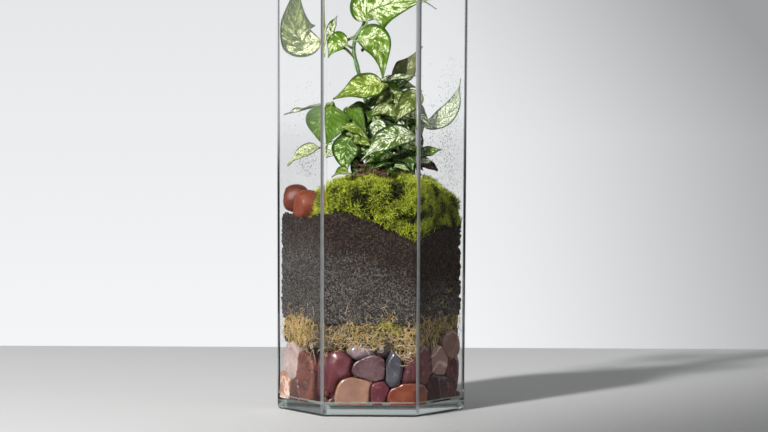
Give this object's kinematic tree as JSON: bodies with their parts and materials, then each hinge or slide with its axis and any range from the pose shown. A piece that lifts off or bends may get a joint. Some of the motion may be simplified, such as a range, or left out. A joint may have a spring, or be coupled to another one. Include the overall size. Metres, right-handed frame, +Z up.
{
  "type": "glass plant terrarium",
  "caption": "Tall open hexagonal glass vase planted in layers: tumbled stones, dry sphagnum, dark soil and a moss mound, with a white-splashed foliage plant.",
  "frame": {"origin": "centre of the vase's underside, on the surface that it stands on", "axes": "+Z up along the vase's axis; -Y out of the front flat side; +X through an upright edge, to the right seen from the front"},
  "size_m": [0.12, 0.1044, 0.3],
  "materials": {
    "clear_glass": "polished",
    "dry_sphagnum": "matte",
    "dark_soil": "matte",
    "living_moss": "matte",
    "roots": "matte",
    "green_stem": "satin",
    "variegated_leaf": "satin",
    "red_stone": "polished",
    "mauve_stone": "polished",
    "pale_stone": "polished",
    "dark_stone": "polished",
    "slate_stone": "polished"
  },
  "bodies": {
    "root": {"vase": "clear_glass", "stone_ochre": "pale_stone", "stone_orange_low": "red_stone", "stone_crimson": "red_stone", "stone_grey_sliver": "slate_stone", "stone_mauve_long": "mauve_stone", "stone_mauve_tall": "mauve_stone", "stone_red_tall": "red_stone", "stone_dark_flat": "slate_stone", "stone_slate": "slate_stone", "stone_red_brown": "red_stone", "stone_pale": "pale_stone", "stone_cream_small": "pale_stone", "stone_brown_small": "dark_stone", "stone_maroon_big": "dark_stone", "stone_mauve_rimmed": "mauve_stone", "stone_maroon_small": "dark_stone", "stone_brown_grey": "dark_stone", "stone_back_a": "mauve_stone", "stone_back_b": "pale_stone", "stone_back_c": "slate_stone", "stone_back_d": "red_stone", "stone_back_e": "pale_stone", "stone_back_f": "red_stone", "stone_back_g": "slate_stone", "stone_middle": "mauve_stone", "carnelian_front": "red_stone", "carnelian_back": "red_stone", "root_ball": "roots", "sphagnum_mat": "dry_sphagnum", "soil": "dark_soil", "moss_mound": "living_moss", "stem_main": "green_stem", "stem_right": "green_stem", "stem_left": "green_stem", "leaf_crown": "variegated_leaf", "leaf_top": "variegated_leaf", "leaf_big_left": "variegated_leaf", "leaf_curled": "variegated_leaf", "leaf_small_left": "variegated_leaf", "leaf_arching": "variegated_leaf", "leaf_yellow_green": "variegated_leaf", "leaf_upper_right": "variegated_leaf", "leaf_dark_tip": "variegated_leaf", "leaf_olive": "variegated_leaf", "leaf_brown_olive": "variegated_leaf", "leaf_long_right": "variegated_leaf", "leaf_level_left": "variegated_leaf", "leaf_round": "variegated_leaf", "leaf_low_left": "variegated_leaf", "leaf_cream": "variegated_leaf", "leaf_dotted": "variegated_leaf", "leaf_near_moss": "variegated_leaf", "leaf_small_centre": "variegated_leaf", "leaf_dark_centre": "variegated_leaf", "leaf_cream_wide": "variegated_leaf", "leaf_pointed_right": "variegated_leaf", "leaf_dark_low": "variegated_leaf", "leaf_dark_right": "variegated_leaf", "leaf_old_right": "variegated_leaf"}
  },
  "joints": []
}
